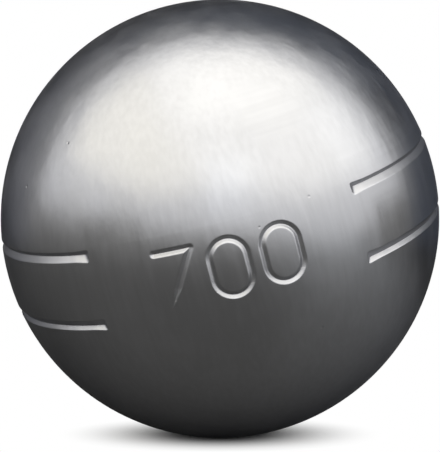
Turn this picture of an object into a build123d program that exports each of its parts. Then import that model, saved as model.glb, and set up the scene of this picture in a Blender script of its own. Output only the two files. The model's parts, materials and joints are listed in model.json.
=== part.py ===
from build123d import *
from math import asin, atan2, cos, degrees, radians, sin, sqrt, tan
import os

# Petanque boule: two forged steel half shells, butt welded round the middle and ground to one ball.
# Sizes are in millimetres and degrees. The origin is the ball's centre, and +Z is up.

# The ball
ball_diameter = 74.0
shell_wall = 6.13

# How the ball lies: its axis leans towards -Y and -X, and the grooves' gap is turned to face -Y
lean_to_front = 7.1
lean_to_left = 14.1
turn_of_gap = 2.7

# The weld: rims bevelled from the outside, down to a root face
bevel_angle = 30.0
root_face = 1.5
root_gap = 1.5
ridge_width = 4.0
ridge_height = 0.7

# The two grooves, cut by a V tool held square to the ball's axis, with a plain gap at the front
groove_spacing = 11.7
groove_depth = 0.59
groove_tool_angle = 105.0
groove_gap = 70.5

# At each end of a groove the tool goes deeper, and a sloped wall closes the cut
run_out_depth = 0.745
run_out_angle = 4.5
end_wall_angle = 37.0
tool_overrun = 0.5

ball_radius = ball_diameter / 2
cavity_radius = ball_radius - shell_wall


def meridian(azimuth):
    """The plane through the ball's axis at an azimuth from the gap: x outwards, y along the axis."""
    ball = Plane.XY.rotated((lean_to_front, -lean_to_left, turn_of_gap + azimuth))
    return Plane(ball.origin, x_dir=-ball.y_dir, z_dir=-ball.x_dir)


ball_axis = Axis((0, 0, 0), meridian(0).y_dir)

# Corners of the weld's profile, as distance from the axis and height above the weld's plane
root_height = root_gap / 2
root_inner = sqrt(cavity_radius**2 - root_height**2)
root_outer = root_inner + root_face

# The bevel runs from the root face out to the ball's surface
along = root_outer * cos(radians(bevel_angle)) + root_height * sin(radians(bevel_angle))
bevel_length = sqrt(along**2 + ball_radius**2 - root_outer**2 - root_height**2) - along
cap_outer = root_outer + bevel_length * cos(radians(bevel_angle))
cap_height = root_height + bevel_length * sin(radians(bevel_angle))

cap_angle = degrees(atan2(cap_height, cap_outer))
root_angle = degrees(asin(root_height / cavity_radius))
toe_angle = degrees(asin(ridge_width / 2 / cavity_radius))


def groove_section(side, depth):
    """Corners of the V tool's cut on a meridian plane, at its root and outside the ball."""
    height = side * groove_spacing / 2
    root = sqrt((ball_radius - depth) ** 2 - height**2)
    mouth = ball_radius + tool_overrun
    half_mouth = (mouth - root) * tan(radians(groove_tool_angle / 2))
    return (root, height), (mouth, height - half_mouth), (mouth, height + half_mouth)


def end_wall(side, hand):
    """The plane of the wall that closes a groove, from the ball's surface down towards the ring."""
    end = meridian(hand * groove_gap / 2)
    height = side * groove_spacing / 2
    mouth = end.from_local_coords((sqrt(ball_radius**2 - height**2), height, 0))
    to_ring = end.z_dir * -hand
    slope = radians(end_wall_angle)
    return Plane(mouth, x_dir=end.y_dir, z_dir=to_ring * sin(slope) + end.x_dir * cos(slope))


def make_run_out(side, hand):
    """One end of a groove, deepening from the ring to the wall that closes it."""
    first_end = groove_gap / 2
    stations = ((first_end + run_out_angle, groove_depth), (first_end, run_out_depth))
    with BuildPart() as run_out:
        for azimuth, depth in stations:
            with BuildSketch(meridian(hand * azimuth)):
                Polygon(*groove_section(side, depth), align=None)
        loft()
        split(bisect_by=end_wall(side, hand), keep=Keep.TOP)
    return run_out.part


def make_groove_cut(side):
    """What the tool takes out of one half shell: a long ring and a run-out at each end."""
    ring_start = groove_gap / 2 + run_out_angle
    run_outs = [make_run_out(side, hand) for hand in (1, -1)]
    with BuildPart() as groove_cut:
        with BuildSketch(meridian(ring_start)):
            Polygon(*groove_section(side, groove_depth), align=None)
        revolve(axis=ball_axis, revolution_arc=360 - 2 * ring_start)
        add(run_outs)
    return groove_cut.part


def make_half_shell(side, label):
    """A half shell on one side of the weld's plane, 1 for above and -1 for below."""
    groove_cut = make_groove_cut(side)
    with BuildPart() as half_shell:
        with BuildSketch(meridian(0)):
            with BuildLine():
                Polyline(
                    (root_inner, side * root_height),
                    (root_outer, side * root_height),
                    (cap_outer, side * cap_height),
                )
                CenterArc((0, 0), ball_radius, side * cap_angle, side * (90 - cap_angle))
                Line((0, side * ball_radius), (0, side * cavity_radius))
                CenterArc((0, 0), cavity_radius, side * root_angle, side * (90 - root_angle))
            make_face()
        revolve(axis=ball_axis)
        add(groove_cut, mode=Mode.SUBTRACT)
    half_shell.part.label = label
    return half_shell.part


upper_half_shell = make_half_shell(1, "upper_half_shell")
lower_half_shell = make_half_shell(-1, "lower_half_shell")

# The weld metal fills the V and the root gap, and stands in a low ridge on the cavity's wall
with BuildPart() as weld_bead:
    with BuildSketch(meridian(0)):
        with BuildLine():
            CenterArc((0, 0), ball_radius, -cap_angle, 2 * cap_angle)
            for side in (1, -1):
                Polyline(
                    (cap_outer, side * cap_height),
                    (root_outer, side * root_height),
                    (root_inner, side * root_height),
                )
                CenterArc((0, 0), cavity_radius, side * root_angle, side * (toe_angle - root_angle))
            toe = cavity_radius * cos(radians(toe_angle))
            ThreePointArc(
                (toe, ridge_width / 2), (cavity_radius - ridge_height, 0), (toe, -ridge_width / 2)
            )
        make_face()
    revolve(axis=ball_axis)
weld_bead.part.label = "weld_bead"

os.makedirs("parts", exist_ok=True)
for piece in (upper_half_shell, lower_half_shell, weld_bead.part):
    export_step(piece, f"parts/{piece.label}.step")
    print(piece.label, round(piece.volume, 1), "mm3")
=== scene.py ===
import json
from math import asin, atan2, cos, degrees, hypot, pi, radians, sin, sqrt, tan

import bmesh
import bpy
from mathutils import Matrix, Vector


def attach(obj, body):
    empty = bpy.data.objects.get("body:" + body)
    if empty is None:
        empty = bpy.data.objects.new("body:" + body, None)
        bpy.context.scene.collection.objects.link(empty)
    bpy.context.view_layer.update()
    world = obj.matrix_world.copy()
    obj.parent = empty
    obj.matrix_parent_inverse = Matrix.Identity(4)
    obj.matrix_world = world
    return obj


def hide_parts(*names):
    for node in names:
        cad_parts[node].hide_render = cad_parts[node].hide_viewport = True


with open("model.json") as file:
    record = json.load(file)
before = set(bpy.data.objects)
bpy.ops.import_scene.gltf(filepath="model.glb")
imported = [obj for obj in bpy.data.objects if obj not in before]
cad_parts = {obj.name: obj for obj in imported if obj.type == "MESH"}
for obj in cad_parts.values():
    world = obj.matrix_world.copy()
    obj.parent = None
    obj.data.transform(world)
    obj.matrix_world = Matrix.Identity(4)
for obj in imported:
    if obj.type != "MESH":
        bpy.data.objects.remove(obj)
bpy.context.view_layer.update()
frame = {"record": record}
mm = 0.001

bpy.context.scene.view_settings.view_transform = "Standard"

# the ball as it lies: its axis leans to the front and the left, and the grooves' gap faces the front
mounts = {mount["name"]: mount for mount in frame["record"]["mounts"]}
ball = {
    "radius": -mounts["ground_rest"]["pos_m"][2],
    "wall": 6.13 * mm,
    "leanToFront": 7.1,
    "leanToLeft": 14.1,
    "turnOfGap": 2.7,
}
ballRadius = ball["radius"]
cavityRadius = ballRadius - ball["wall"]
floorHeight = -ballRadius
lieOfBall = (
    Matrix.Rotation(radians(ball["leanToFront"]), 4, "X")
    @ Matrix.Rotation(radians(-ball["leanToLeft"]), 4, "Y")
    @ Matrix.Rotation(radians(ball["turnOfGap"]), 4, "Z")
)
print("ball", round(ballRadius / mm, 2), "mm radius")

# weld preparation: rims bevelled from outside down to a root face, a low ridge inside
weld = {
    "bevelAngle": 30.0,
    "rootFace": 1.5 * mm,
    "rootGap": 1.5 * mm,
    "ridgeWidth": 4.0 * mm,
    "ridgeHeight": 0.7 * mm,
}
rootHeight = weld["rootGap"] / 2
rootInner = sqrt(cavityRadius**2 - rootHeight**2)
rootOuter = rootInner + weld["rootFace"]
bevelRise = sin(radians(weld["bevelAngle"]))
bevelRun = cos(radians(weld["bevelAngle"]))
along = rootOuter * bevelRun + rootHeight * bevelRise
bevelLength = sqrt(along**2 + ballRadius**2 - rootOuter**2 - rootHeight**2) - along
capOuter = rootOuter + bevelLength * bevelRun
capHeight = rootHeight + bevelLength * bevelRise
capAngle = degrees(atan2(capHeight, capOuter))
rootAngle = degrees(asin(rootHeight / cavityRadius))
toeAngle = degrees(asin(weld["ridgeWidth"] / 2 / cavityRadius))


def softMin(a, b, blend):  # the lesser of two depths, with the corner between them rounded
    mix = max(blend - abs(a - b), 0) / blend
    return min(a, b) - mix * mix * blend / 4


# the two V grooves, cut square to the axis, deeper where the tool stops
groove = {
    "spacing": 11.7 * mm,
    "depth": 0.59 * mm,
    "toolAngle": 105.0,
    "gap": 70.5,
    "runOutDepth": 0.745 * mm,
    "runOutAngle": 4.5,
    "endSlope": 0.75,  # depth gained per length
    "rootNose": 0.06 * mm,
    "endCorner": 0.45 * mm,
    "lip": 0.06 * mm,
    "topLatitude": 11.0,  # clear of the upper lip
    "endMargin": 1.0,  # degrees into the gap, clear of the end's lip
}
grooveEnd = groove["gap"] / 2


def grooveDepth(latitude, azimuth):
    if not capAngle < degrees(latitude) < groove["topLatitude"]:
        return 0
    pastEnd = abs(azimuth) - grooveEnd
    runOut = min(max(1 - pastEnd / groove["runOutAngle"], 0), 1)
    depth = groove["depth"] + runOut * (groove["runOutDepth"] - groove["depth"])
    height = groove["spacing"] / 2
    root = sqrt((ballRadius - depth) ** 2 - height**2)
    flare = tan(radians(groove["toolAngle"] / 2))
    # each wall as a depth below the ball's surface
    northWall = ballRadius - (root * flare - height) / (flare * cos(latitude) - sin(latitude))
    southWall = ballRadius - (root * flare + height) / (flare * cos(latitude) + sin(latitude))
    endWall = radians(pastEnd) * ballRadius * cos(latitude) * groove["endSlope"]
    cut = softMin(northWall, southWall, groove["rootNose"])
    cut = softMin(cut, endWall, groove["endCorner"])
    return -softMin(-cut, 0, groove["lip"])


# the mass in grams, cut where the gap leaves room
weightMark = {
    "number": "700",
    "height": 9.0 * mm,
    "width": 5.9 * mm,
    "space": 2.5 * mm,
    "stroke": 1.15 * mm,
    "taper": 3.0 * mm,  # the foot of the 7 runs out over this height
    "legFoot": 0.7,  # how far left the 7's leg ends, of half a digit's width
    "slope": 0.78,
    "depth": 0.42 * mm,
    "nose": 0.15 * mm,
    "lip": 0.08 * mm,
    "margin": 1.0 * mm,
}
markPitch = weightMark["width"] + weightMark["space"]
markEnd = degrees(markPitch * len(weightMark["number"]) / 2 / ballRadius)


def strokeGap(u, v, start, end):  # distance from a point to a straight stroke
    run = (end[0] - start[0], end[1] - start[1])
    share = ((u - start[0]) * run[0] + (v - start[1]) * run[1]) / (run[0] ** 2 + run[1] ** 2)
    share = min(max(share, 0), 1)
    return hypot(u - start[0] - share * run[0], v - start[1] - share * run[1])


def digitGap(digit, u, v):
    halfHeight = weightMark["height"] / 2
    halfWidth = weightMark["width"] / 2
    if digit == "0":
        reach = halfHeight - halfWidth
        return abs(strokeGap(u, v, (0, -reach), (0, reach)) - halfWidth)
    bar = strokeGap(u, v, (-halfWidth, halfHeight), (halfWidth, halfHeight))
    leg = strokeGap(u, v, (halfWidth, halfHeight), (-halfWidth * weightMark["legFoot"], -halfHeight))
    lift = max(1 - (v + halfHeight) / weightMark["taper"], 0)  # the leg rises out of the steel
    return min(bar, leg + lift * weightMark["stroke"] / 2)


def markDepth(latitude, azimuth):
    u = radians(azimuth) * ballRadius
    v = latitude * ballRadius
    if abs(v) > weightMark["height"] / 2 + weightMark["margin"]:
        return 0
    middle = (len(weightMark["number"]) - 1) / 2
    digits = enumerate(weightMark["number"])
    gap = min(digitGap(digit, u - (place - middle) * markPitch, v) for place, digit in digits)
    wall = (weightMark["stroke"] / 2 - gap) * weightMark["slope"]
    cut = softMin(wall, weightMark["depth"], weightMark["nose"])
    return -softMin(-cut, 0, weightMark["lip"])


# how finely the pieces are divided, in degrees: rows up the ball, turns round its axis
division = {
    "grooveRow": 0.095,
    "markRow": 0.14,
    "plainRow": 2.0,
    "cavityRow": 6.0,
    "toeRow": 1.5,
    "ridgeRow": 8.0,
    "plainTurn": 2.0,
    "runOutTurn": 0.4,
    "endTurn": 0.1,
    "markTurn": 0.15,
    "runOutFrom": 5.5,  # these three are counted from a groove's end
    "endFrom": 2.5,
    "endTo": -0.4,
    "sharpEdge": 50.0,
}
mergeGap = 0.0001 * mm
surfaceBand = 0.001 * mm


def swing(mesh, corner, angle, step, centre=(0, 0, 0)):  # draws an arc of the outline
    spun = bmesh.ops.spin(
        mesh,
        geom=[corner],
        cent=centre,
        axis=(1, 0, 0),
        angle=radians(angle),
        steps=max(1, round(abs(angle) / step)),
    )
    return [part for part in spun["geom_last"] if isinstance(part, bmesh.types.BMVert)][0]


def pull(mesh, corner, outward, height):  # draws a straight run of the outline
    end = bmesh.ops.extrude_vert_indiv(mesh, verts=[corner])["verts"][0]
    end.co = (0, outward, height)
    return end


def turnBlank(mesh):  # turns the outline from the back to the front, then mirrors that half
    stops = [  # where each stretch ends, in degrees from the front, and its step
        (grooveEnd + division["runOutFrom"], division["plainTurn"]),
        (grooveEnd + division["endFrom"], division["runOutTurn"]),
        (grooveEnd + division["endTo"], division["endTurn"]),
        (markEnd, division["plainTurn"]),
        (0, division["markTurn"]),
    ]
    azimuth = 180
    outline = mesh.verts[:] + mesh.edges[:]
    for stop, step in stops:
        angle = azimuth - stop
        steps = max(1, round(angle / step))
        spun = bmesh.ops.spin(mesh, geom=outline, axis=(0, 0, 1), angle=radians(angle), steps=steps)
        outline = spun["geom_last"]
        azimuth = stop
    half = mesh.verts[:] + mesh.edges[:] + mesh.faces[:]
    bmesh.ops.mirror(mesh, geom=half, axis="X", merge_dist=mergeGap)
    bmesh.ops.remove_doubles(mesh, verts=mesh.verts[:], dist=mergeGap)
    bmesh.ops.recalc_face_normals(mesh, faces=mesh.faces[:])


def cutOutside(mesh):  # sinks the grooves and the number, and keeps the depth for the steel
    depthLayer = mesh.verts.layers.float.new("cutDepth")
    for corner in mesh.verts:
        distance = corner.co.length
        if distance < ballRadius - surfaceBand:
            continue
        latitude = asin(max(-1, min(1, corner.co.z / distance)))
        azimuth = degrees(atan2(corner.co.x, -corner.co.y))
        if abs(azimuth) < grooveEnd - groove["endMargin"]:
            depth = markDepth(latitude, azimuth)
        else:
            depth = grooveDepth(abs(latitude), azimuth)
        corner.co *= (ballRadius - depth) / distance
        corner[depthLayer] = depth / mm


def finishPiece(mesh, name, node, material):
    bmesh.ops.transform(mesh, matrix=lieOfBall, verts=mesh.verts[:])
    data = bpy.data.meshes.new(name)
    mesh.to_mesh(data)
    mesh.free()
    data.shade_smooth()
    data.set_sharp_from_angle(angle=radians(division["sharpEdge"]))
    data.materials.append(material)
    piece = bpy.data.objects.new(name, data)
    bpy.context.scene.collection.objects.link(piece)
    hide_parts(node)
    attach(piece, "root")
    print(name, sum(len(face.vertices) - 2 for face in data.polygons), "triangles")


def turnHalfShell():
    mesh = bmesh.new()
    corner = mesh.verts.new((0, 0, cavityRadius))
    corner = swing(mesh, corner, rootAngle - 90, division["cavityRow"])
    corner = pull(mesh, corner, rootOuter, rootHeight)
    corner = pull(mesh, corner, capOuter, capHeight)
    corner = swing(mesh, corner, groove["topLatitude"] - capAngle, division["grooveRow"])
    swing(mesh, corner, 90 - groove["topLatitude"], division["plainRow"])
    turnBlank(mesh)
    return mesh


def makeHalfShells(material):
    upper = turnHalfShell()
    lower = upper.copy()
    bmesh.ops.scale(lower, verts=lower.verts[:], vec=(1, 1, -1))
    bmesh.ops.recalc_face_normals(lower, faces=lower.faces[:])
    cutOutside(upper)
    cutOutside(lower)
    finishPiece(upper, "upperShell", "upper_half_shell", material)
    finishPiece(lower, "lowerShell", "lower_half_shell", material)


def makeWeldBead(material):
    toeOut = cavityRadius * cos(radians(toeAngle))
    ridgeTop = cavityRadius - weld["ridgeHeight"]
    rise = toeOut - ridgeTop
    half = weld["ridgeWidth"] / 2
    ridgeRadius = (half**2 + rise**2) / (2 * rise)
    ridgeAngle = degrees(asin(half / ridgeRadius))
    mesh = bmesh.new()
    first = mesh.verts.new((0, capOuter, -capHeight))
    corner = swing(mesh, first, 2 * capAngle, division["markRow"])
    corner = pull(mesh, corner, rootOuter, rootHeight)
    corner = pull(mesh, corner, rootInner, rootHeight)
    corner = swing(mesh, corner, toeAngle - rootAngle, division["toeRow"])
    corner = swing(mesh, corner, 2 * ridgeAngle, division["ridgeRow"], (0, ridgeTop + ridgeRadius, 0))
    corner = swing(mesh, corner, toeAngle - rootAngle, division["toeRow"])
    corner = pull(mesh, corner, rootOuter, -rootHeight)
    mesh.edges.new((corner, first))
    turnBlank(mesh)
    cutOutside(mesh)
    finishPiece(mesh, "weldBead", "weld_bead", material)


# satin steel: brush lines along and across the axis, soft waves, a few pits
steelGrain = {  # lumps per metre, twice across the axis and once along it, and the noise's detail
    "upright": ((1100, 1100, 45), 1),
    "across": ((45, 45, 1100), 1),
    "patch": ((45, 45, 45), 2),
    "cloud": ((60, 60, 60), 4),
    "mottle": ((900, 900, 220), 2),
    "wave": ((200, 200, 60), 1),
    "wisp": ((260, 260, 50), 2),
}
steelLook = {
    "dark": (0.5, 0.503, 0.525, 1),
    "light": (0.54, 0.543, 0.567, 1),
    "grazeTint": (0.47, 0.475, 0.5, 1),
    "crumble": 0.55,  # how strong the finer lumps of a layer are
    "patchFade": (0.58, 0.66),
    "cloudFade": (0.3, 0.7),
    "wispFade": (0.2, 0.8),
    "cutFade": (0.03, 0.15),  # millimetres deep
    "roughness": (0.262, 0.308),
    "leastRoughness": 0.278,
    "brushRoughness": 0.03,
    "wispRoughness": (-0.05, 0.05),
    "cutRoughness": 0.36,
    "brushMiddle": 0.5,
    "brushTone": 2.2,
    "pitTone": 2.0,
    "pit": (350, 350, 350),  # cells per metre
    "pitFade": (0.12, 0.048),  # a pit's rim and core, in cells
    "pitShare": 0.985,  # cells below this have no pit
    "heightUnit": 0.01 * mm,  # the heights below count in this
    "brushHeight": 0.9,
    "mottleHeight": 2.3,
    "waveHeight": 10.0,
    "pitHeight": 6.0,
}


def addNode(tree, kind, sockets=None, **settings):
    node = tree.nodes.new("ShaderNode" + kind)
    for name, value in settings.items():
        setattr(node, name, value)
    for name, value in (sockets or {}).items():
        if isinstance(value, bpy.types.NodeSocket):
            tree.links.new(value, node.inputs[name])
        else:
            node.inputs[name].default_value = value
    return node


def makeSatinFinish():
    group = bpy.data.node_groups.new("satinFinish", "ShaderNodeTree")
    for name in ("Place", "Cut", "Brush", "Pits"):
        kind = "NodeSocketVector" if name == "Place" else "NodeSocketFloat"
        group.interface.new_socket(name, in_out="INPUT", socket_type=kind)
    for name in ("Color", "Roughness", "Height"):
        kind = "NodeSocketColor" if name == "Color" else "NodeSocketFloat"
        group.interface.new_socket(name, in_out="OUTPUT", socket_type=kind)
    given = group.nodes.new("NodeGroupInput").outputs
    look = steelLook

    def stretch(scale):
        return addNode(group, "Mapping", {"Vector": given["Place"], "Scale": scale}).outputs[0]

    def noise(layer):
        scale, detail = steelGrain[layer]
        sockets = {"Vector": stretch(scale), "Scale": 1, "Detail": detail, "Roughness": look["crumble"]}
        return addNode(group, "TexNoise", sockets).outputs["Fac"]

    def combine(operation, a, b):
        return addNode(group, "Math", {0: a, 1: b}, operation=operation).outputs[0]

    def fade(value, low, high, first=0, last=1):
        ends = {"Value": value, "From Min": low, "From Max": high, "To Min": first, "To Max": last}
        return addNode(group, "MapRange", ends).outputs["Result"]

    def mix(share, a, b, kind="FLOAT"):
        return addNode(group, "Mix", {"Factor": share, "A": a, "B": b}, data_type=kind).outputs["Result"]

    # brush lines lie along the axis, and across it in patches and in the cuts
    patches = fade(noise("patch"), *look["patchFade"])
    patches = combine("MAXIMUM", patches, given["Cut"])
    brush = mix(patches, noise("upright"), noise("across"))
    brush = combine("MULTIPLY", brush, given["Brush"])

    # a pit in one cell of many
    cells = addNode(group, "TexVoronoi", {"Vector": stretch(look["pit"]), "Scale": 1}).outputs
    chance = addNode(group, "SeparateColor", {0: cells["Color"]}).outputs["Red"]
    pit = combine("GREATER_THAN", chance, look["pitShare"])
    pit = combine("MULTIPLY", pit, fade(cells["Distance"], *look["pitFade"]))
    pit = combine("MULTIPLY", pit, given["Pits"])

    height = combine("MULTIPLY", brush, look["brushHeight"])
    height = combine("ADD", height, combine("MULTIPLY", noise("mottle"), look["mottleHeight"]))
    height = combine("ADD", height, combine("MULTIPLY", noise("wave"), look["waveHeight"]))
    height = combine("SUBTRACT", height, combine("MULTIPLY", pit, look["pitHeight"]))

    clouds = noise("cloud")
    satin = fade(clouds, *look["cloudFade"], *look["roughness"])
    satin = combine("ADD", satin, combine("MULTIPLY", brush, look["brushRoughness"]))
    satin = combine("ADD", satin, fade(noise("wisp"), *look["wispFade"], *look["wispRoughness"]))
    satin = combine("MAXIMUM", satin, look["leastRoughness"])

    streaks = combine("SUBTRACT", brush, look["brushMiddle"])
    streaks = combine("MULTIPLY", streaks, look["brushTone"])
    tone = combine("ADD", fade(clouds, *look["cloudFade"]), streaks)
    tone = combine("SUBTRACT", tone, combine("MULTIPLY", pit, look["pitTone"]))

    result = group.nodes.new("NodeGroupOutput").inputs
    group.links.new(mix(tone, look["dark"], look["light"], "RGBA"), result["Color"])
    group.links.new(mix(given["Cut"], satin, look["cutRoughness"]), result["Roughness"])
    group.links.new(height, result["Height"])
    return group


satinFinish = makeSatinFinish()


def makeSteel(name, brush, pits):
    material = bpy.data.materials.new(name)
    material.use_nodes = True
    tree = material.node_tree
    place = addNode(tree, "TexCoord").outputs["Object"]
    turnBack = lieOfBall.inverted().to_euler()
    inBall = addNode(tree, "Mapping", {"Vector": place, "Rotation": turnBack}).outputs[0]
    depth = addNode(tree, "Attribute", attribute_name="cutDepth").outputs["Fac"]
    low, high = steelLook["cutFade"]
    cut = addNode(tree, "MapRange", {"Value": depth, "From Min": low, "From Max": high}).outputs["Result"]
    inputs = {"Place": inBall, "Cut": cut, "Brush": brush, "Pits": pits}
    finish = addNode(tree, "Group", inputs, node_tree=satinFinish).outputs
    bump = addNode(tree, "Bump", {"Height": finish["Height"], "Distance": steelLook["heightUnit"]})
    shader = tree.nodes["Principled BSDF"].inputs
    shader["Metallic"].default_value = 1
    shader["Specular Tint"].default_value = steelLook["grazeTint"]
    tree.links.new(finish["Color"], shader["Base Color"])
    tree.links.new(finish["Roughness"], shader["Roughness"])
    tree.links.new(bump.outputs["Normal"], shader["Normal"])
    print(name, "mixed")
    return material


makeHalfShells(makeSteel("shellSteel", brush=1.0, pits=1.0))
makeWeldBead(makeSteel("weldSteel", brush=0.9, pits=1.0))


# the studio: white surround, pale floor, soft lamps, and a mat and cards unseen by the camera, whose
# colours paint shade and light into the steel's reflection
def addStage(name, mesh, material, unseenBy=()):
    data = bpy.data.meshes.new(name)
    mesh.to_mesh(data)
    mesh.free()
    data.materials.append(material)
    thing = bpy.data.objects.new(name, data)
    bpy.context.scene.collection.objects.link(thing)
    for rays in unseenBy:
        setattr(thing, "visible_" + rays, False)


def startPaint(name):
    material = bpy.data.materials.new(name)
    material.use_nodes = True
    material.node_tree.nodes.clear()
    return material, material.node_tree


def finishPaint(tree, color):
    paint = addNode(tree, "BsdfDiffuse", {"Color": color})
    addNode(tree, "OutputMaterial", {"Surface": paint.outputs["BSDF"]})


def studioRays(tree):  # rays that see the studio: the camera's, and those off metal or through glass
    rays = addNode(tree, "LightPath").outputs
    seen = rays["Is Camera Ray"]
    for kind in ("Is Glossy Ray", "Is Transmission Ray"):
        seen = addNode(tree, "Math", {0: seen, 1: rays[kind]}, operation="MAXIMUM").outputs[0]
    return seen


def fadeShare(tree, value, ends, kind="SMOOTHSTEP"):
    sockets = {"Value": value, "From Min": ends[0], "From Max": ends[1]}
    return addNode(tree, "MapRange", sockets, interpolation_type=kind).outputs["Result"]


def fadeOver(tree, value, ends, first, second, kind="SMOOTHSTEP"):
    sockets = {"Factor": fadeShare(tree, value, ends, kind), "A": first, "B": second}
    return addNode(tree, "Mix", sockets, data_type="RGBA").outputs["Result"]


def awayFromAxis(tree, place, scale):
    flat = addNode(tree, "Mapping", {"Vector": place, "Scale": scale}).outputs[0]
    return addNode(tree, "VectorMath", {0: flat}, operation="LENGTH").outputs["Value"]


def runTowards(tree, place, way):
    return addNode(tree, "VectorMath", {0: place, 1: way}, operation="DOT_PRODUCT").outputs["Value"]


# pale paper, which shows as white beyond the ball's shadow
floor = {
    "half": 4.0,
    "color": (0.9, 0.9, 0.9, 1),
    "shadow": (6.5 * mm, 28 * mm),
    "shadowFlat": 1.65,  # how much shorter the shadow is from front to back
}


def makeFloorPaper():
    material, tree = startPaint("floorPaper")
    place = addNode(tree, "TexCoord").outputs["Object"]
    away = awayFromAxis(tree, place, (1, floor["shadowFlat"], 0))
    clear = fadeShare(tree, away, floor["shadow"])
    share = addNode(tree, "Math", {0: clear, 1: studioRays(tree)}, operation="MULTIPLY").outputs[0]
    paper = addNode(tree, "BsdfDiffuse", {"Color": floor["color"]}).outputs["BSDF"]
    white = addNode(tree, "Emission").outputs["Emission"]
    both = addNode(tree, "MixShader", {"Fac": share, 1: paper, 2: white})
    addNode(tree, "OutputMaterial", {"Surface": both.outputs["Shader"]})
    return material


def layFloor():
    mesh = bmesh.new()
    bmesh.ops.create_grid(mesh, x_segments=1, y_segments=1, size=floor["half"])
    bmesh.ops.translate(mesh, verts=mesh.verts[:], vec=(0, 0, floorHeight))
    addStage("floor", mesh, makeFloorPaper())


# a dark sheet round the ball, seen only in the steel, whose colours are painted reflection: dark as
# painted shade, lighter near the ball as painted light against the ball's shadow on it, paler far out and
# to the right as painted light, darker behind as painted shade
reflectedShadeMat = {
    "radius": 1.2,
    "segments": 96,
    "centre": (-0.5, 0.0),
    "lift": 0.2 * mm,
    "color": (0.1, 0.101, 0.103, 1),
    "nearPaintedLight": (0.178, 0.179, 0.182, 1),
    "near": (-15 * mm, 50 * mm),
    "farPaintedLight": (0.17, 0.171, 0.173, 1),
    "far": (100 * mm, 400 * mm),
    "rightPaintedLight": (0.84, 0.88, 0.95, 1),
    "pale": (0 * mm, 480 * mm),
    "paleTurn": 105.0,
    "backPaintedShade": (0.06, 0.061, 0.065, 1),
    "back": (5 * mm, 150 * mm),
    "backTurn": 150.0,
}


def makeReflectedShadePaint():
    material, tree = startPaint("reflectedShadePaint")
    place = addNode(tree, "TexCoord").outputs["Object"]
    away = awayFromAxis(tree, place, (1, 1, 0))
    paleTurn = radians(reflectedShadeMat["paleTurn"])
    backTurn = radians(reflectedShadeMat["backTurn"])
    aside = runTowards(tree, place, (sin(paleTurn), -cos(paleTurn), 0))
    behind = runTowards(tree, place, (sin(backTurn), -cos(backTurn), 0))
    # painted light near the ball and far out, painted light to the right, painted shade behind
    paintedTone = fadeOver(tree, away, reflectedShadeMat["near"], reflectedShadeMat["nearPaintedLight"], reflectedShadeMat["color"])
    paintedTone = fadeOver(tree, away, reflectedShadeMat["far"], paintedTone, reflectedShadeMat["farPaintedLight"])
    paintedTone = fadeOver(tree, aside, reflectedShadeMat["pale"], paintedTone, reflectedShadeMat["rightPaintedLight"], "LINEAR")
    paintedTone = fadeOver(tree, behind, reflectedShadeMat["back"], paintedTone, reflectedShadeMat["backPaintedShade"])
    finishPaint(tree, paintedTone)
    return material


def layMat():
    mesh = bmesh.new()
    bmesh.ops.create_circle(mesh, cap_ends=True, segments=reflectedShadeMat["segments"], radius=reflectedShadeMat["radius"])
    place = (*reflectedShadeMat["centre"], floorHeight + reflectedShadeMat["lift"])
    bmesh.ops.translate(mesh, verts=mesh.verts[:], vec=place)
    addStage("reflectedShadeMat", mesh, makeReflectedShadePaint(), ("camera", "shadow", "diffuse"))


# cards bent into part of a dome behind the ball, cut off along a slanted plane, seen only in the steel:
# their dark bluish colour is painted shade in its reflection
reflectedShadeCards = {
    "radius": 0.24,
    "segments": (96, 64),
    "lift": 1.0 * mm,
    "leftEdge": 9.5,  # degrees behind the ball's middle
    "rightEdge": 11.0,
    "topEdge": 16.0,
    "color": (0.108, 0.131, 0.182, 1),
    "shadeAndLightFades": [  # painted shade and painted light in the steel's reflection, each coming in along a way
        {"way": (-0.4, 0.92, 0), "ends": (130 * mm, 205 * mm), "color": (0.027, 0.031, 0.044, 1)},
        {"way": (-0.85, 0, 0.35), "ends": (100 * mm, 180 * mm), "color": (0.3, 0.31, 0.35, 1)},
        {"way": (0, -1, 0), "ends": (-115 * mm, -45 * mm), "color": (0.34, 0.34, 0.345, 1)},
    ],
    "patches": [  # soft round spots of painted highlight in the steel's reflection, the last one painted shade
        {"centre": (0.135, 0.1, 0.172), "ends": (12 * mm, 48 * mm), "color": (0.45, 0.475, 0.54, 1)},
        {"centre": (-0.057, 0.1, 0.211), "ends": (12 * mm, 42 * mm), "color": (0.6, 0.61, 0.63, 1)},
        {"centre": (-0.189, 0.1, 0.109), "ends": (12 * mm, 48 * mm), "color": (0.45, 0.46, 0.49, 1)},
        {"centre": (0.174, 0.132, 0.1), "ends": (12 * mm, 45 * mm), "color": (0.03, 0.034, 0.047, 1)},
    ],
}


def makeReflectedShadeCardPaint():
    material, tree = startPaint("reflectedShadeCardPaint")
    place = addNode(tree, "TexCoord").outputs["Object"]
    card = reflectedShadeCards["color"]
    # painted shade and light along ways, then spots of painted highlight, for the steel to reflect
    for fade in reflectedShadeCards["shadeAndLightFades"]:
        run = runTowards(tree, place, fade["way"])
        card = fadeOver(tree, run, fade["ends"], card, fade["color"])
    for patch in reflectedShadeCards["patches"]:
        away = addNode(tree, "VectorMath", {0: place, 1: patch["centre"]}, operation="DISTANCE")
        card = fadeOver(tree, away.outputs["Value"], patch["ends"], patch["color"], card)
    finishPaint(tree, card)
    return material


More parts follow.
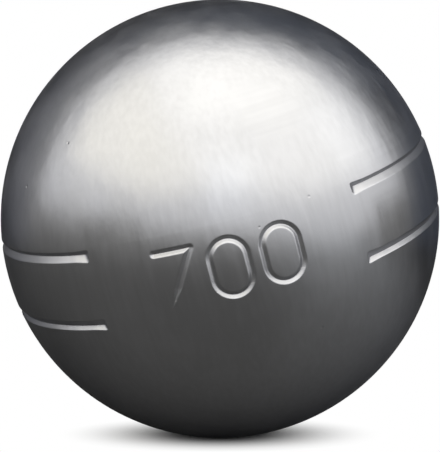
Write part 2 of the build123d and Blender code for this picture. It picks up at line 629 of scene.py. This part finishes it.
def hangDarkCards():
    radius = reflectedShadeCards["radius"]
    columns, rows = reflectedShadeCards["segments"]
    leftEdge = radians(reflectedShadeCards["leftEdge"])
    rightEdge = radians(reflectedShadeCards["rightEdge"])
    topEdge = radians(reflectedShadeCards["topEdge"])
    left = Vector((-cos(leftEdge), sin(leftEdge), 0)) * radius
    right = Vector((cos(rightEdge), sin(rightEdge), 0)) * radius
    top = Vector((0, sin(topEdge), cos(topEdge))) * radius
    foot = Vector((0, 0, floorHeight + reflectedShadeCards["lift"]))
    mesh = bmesh.new()
    bmesh.ops.create_uvsphere(mesh, u_segments=columns, v_segments=rows, radius=radius)
    cuts = [
        (left, (right - left).cross(top - left)),
        (foot, Vector((0, 0, -1))),
    ]
    for point, cutOff in cuts:
        bmesh.ops.bisect_plane(
            mesh,
            geom=mesh.verts[:] + mesh.edges[:] + mesh.faces[:],
            plane_co=point,
            plane_no=cutOff,
            clear_outer=True,
        )
    addStage("reflectedShadeCards", mesh, makeReflectedShadeCardPaint(), ("camera",))


# low bent cards on the floor, seen only in the steel, whose greys are painted reflection at its sides; in
# degrees round the ball from the front
lowCards = {
    "rightCard": {"from": 81.0, "to": 112.0, "radius": 0.25, "top": 0.03, "shade": 0.28},
    "leftCard": {"from": -118.0, "to": -40.0, "radius": 0.9, "top": 0.05, "shade": 0.22},
}
lowCardLift = 1.0 * mm
lowCardSteps = 24


def standLowCards():
    for name, card in lowCards.items():
        mesh = bmesh.new()
        start = Vector((0, -card["radius"], floorHeight + lowCardLift))
        foot = mesh.verts.new(Matrix.Rotation(radians(card["from"]), 4, "Z") @ start)
        head = bmesh.ops.extrude_vert_indiv(mesh, verts=[foot])["verts"][0]
        head.co.z = card["top"]
        bmesh.ops.spin(
            mesh,
            geom=mesh.verts[:] + mesh.edges[:],
            axis=(0, 0, 1),
            angle=radians(card["to"] - card["from"]),
            steps=lowCardSteps,
        )
        material, tree = startPaint(name)
        # a flat grey as painted reflection in the steel
        finishPaint(tree, (card["shade"], card["shade"], card["shade"], 1))
        addStage(name, mesh, material, ("camera",))


# soft lamps: the overheads shine straight down, and the panels are aimed at the ball
amber = (1, 0.93, 0.7)
warm = (1, 0.96, 0.83)
cool = (0.88, 0.94, 1)
overheads = {
    "overhead": {
        "place": (0.675, -0.7775, 0.6),
        "size": (1.95, 1.745),
        "radiance": 0.68,
        "tint": warm,
    },
    "overheadLeft": {
        "place": (-0.875, -0.7775, 0.6),
        "size": (1.15, 1.745),
        "radiance": 0.65,
        "tint": amber,
    },
    "overheadCore": {
        "place": (0.06, -0.12, 0.5),
        "size": (0.5, 0.46),
        "radiance": 0.27,
        "tint": warm,
    },
}
panels = {
    "frontPanel": {
        "place": (0.1, -1.08, 0.42),
        "size": (0.42, 0.55),
        "radiance": 0.37,
        "tint": cool,
    },
    "rightPanel": {
        "place": (0.75, -0.1, 0.5),
        "size": (0.4, 0.5),
        "radiance": 0.22,
        "tint": cool,
    },
}


def hangLamps(lamps, aimed):
    for name, spec in lamps.items():
        softbox = bpy.data.lights.new(name, "AREA")
        softbox.shape = "RECTANGLE"
        softbox.size, softbox.size_y = spec["size"]
        softbox.color = spec["tint"]
        softbox.energy = spec["radiance"] * pi * softbox.size * softbox.size_y  # watts
        lamp = bpy.data.objects.new(name, softbox)
        lamp.location = spec["place"]
        if aimed:
            lamp.rotation_euler = (-lamp.location).to_track_quat("-Z", "Y").to_euler()
        lamp.visible_camera = False
        bpy.context.scene.collection.objects.link(lamp)


# a white surround, a little dimmer as a light than it looks
surround = {
    "color": (1, 1, 1, 1),
    "seen": 1.0,
    "ambient": 0.75,
}


def hangSurround():
    world = bpy.data.worlds.new("studioWhite")
    world.use_nodes = True
    bpy.context.scene.world = world
    tree = world.node_tree
    levels = {"Value": studioRays(tree), "To Min": surround["ambient"], "To Max": surround["seen"]}
    level = addNode(tree, "MapRange", levels).outputs["Result"]
    background = tree.nodes["Background"].inputs
    background["Color"].default_value = surround["color"]
    tree.links.new(level, background["Strength"])


layFloor()
layMat()
hangDarkCards()
standLowCards()
hangLamps(overheads, aimed=False)
hangLamps(panels, aimed=True)
hangSurround()
print("studio set,", len(overheads) + len(panels), "lamps")

# the camera, placed by the ball's outline in the picture
view = {
    "frame": (440, 452),  # pixels, as are the next two
    "ballCentre": (219.95, 218.7),
    "ballRadius": 219.3,
    "elevation": 5.2,
    "distance": 0.37,
    "sensor": 36.0,
    "clipStart": 0.01,
}


def setCamera():
    focal = view["ballRadius"] / tan(asin(ballRadius / view["distance"]))
    camera = bpy.data.cameras.new("camera")
    camera.sensor_width = view["sensor"]
    camera.lens = focal * view["sensor"] / max(view["frame"])
    camera.clip_start = view["clipStart"]
    cameraObject = bpy.data.objects.new("camera", camera)
    bpy.context.scene.collection.objects.link(cameraObject)
    bpy.context.scene.camera = cameraObject
    elevation = radians(view["elevation"])
    toCamera = Vector((0, -cos(elevation), sin(elevation)))
    right = Vector((1, 0, 0))
    up = right.cross(-toCamera)
    offRight = (view["frame"][0] / 2 - view["ballCentre"][0]) * view["distance"] / focal
    offDown = (view["frame"][1] / 2 - view["ballCentre"][1]) * view["distance"] / focal
    aim = right * offRight - up * offDown
    cameraObject.location = toCamera * view["distance"]
    cameraObject.rotation_euler = (aim - cameraObject.location).to_track_quat("-Z", "Y").to_euler()
    print("camera", round(camera.lens, 1), "mm lens")


setCamera()
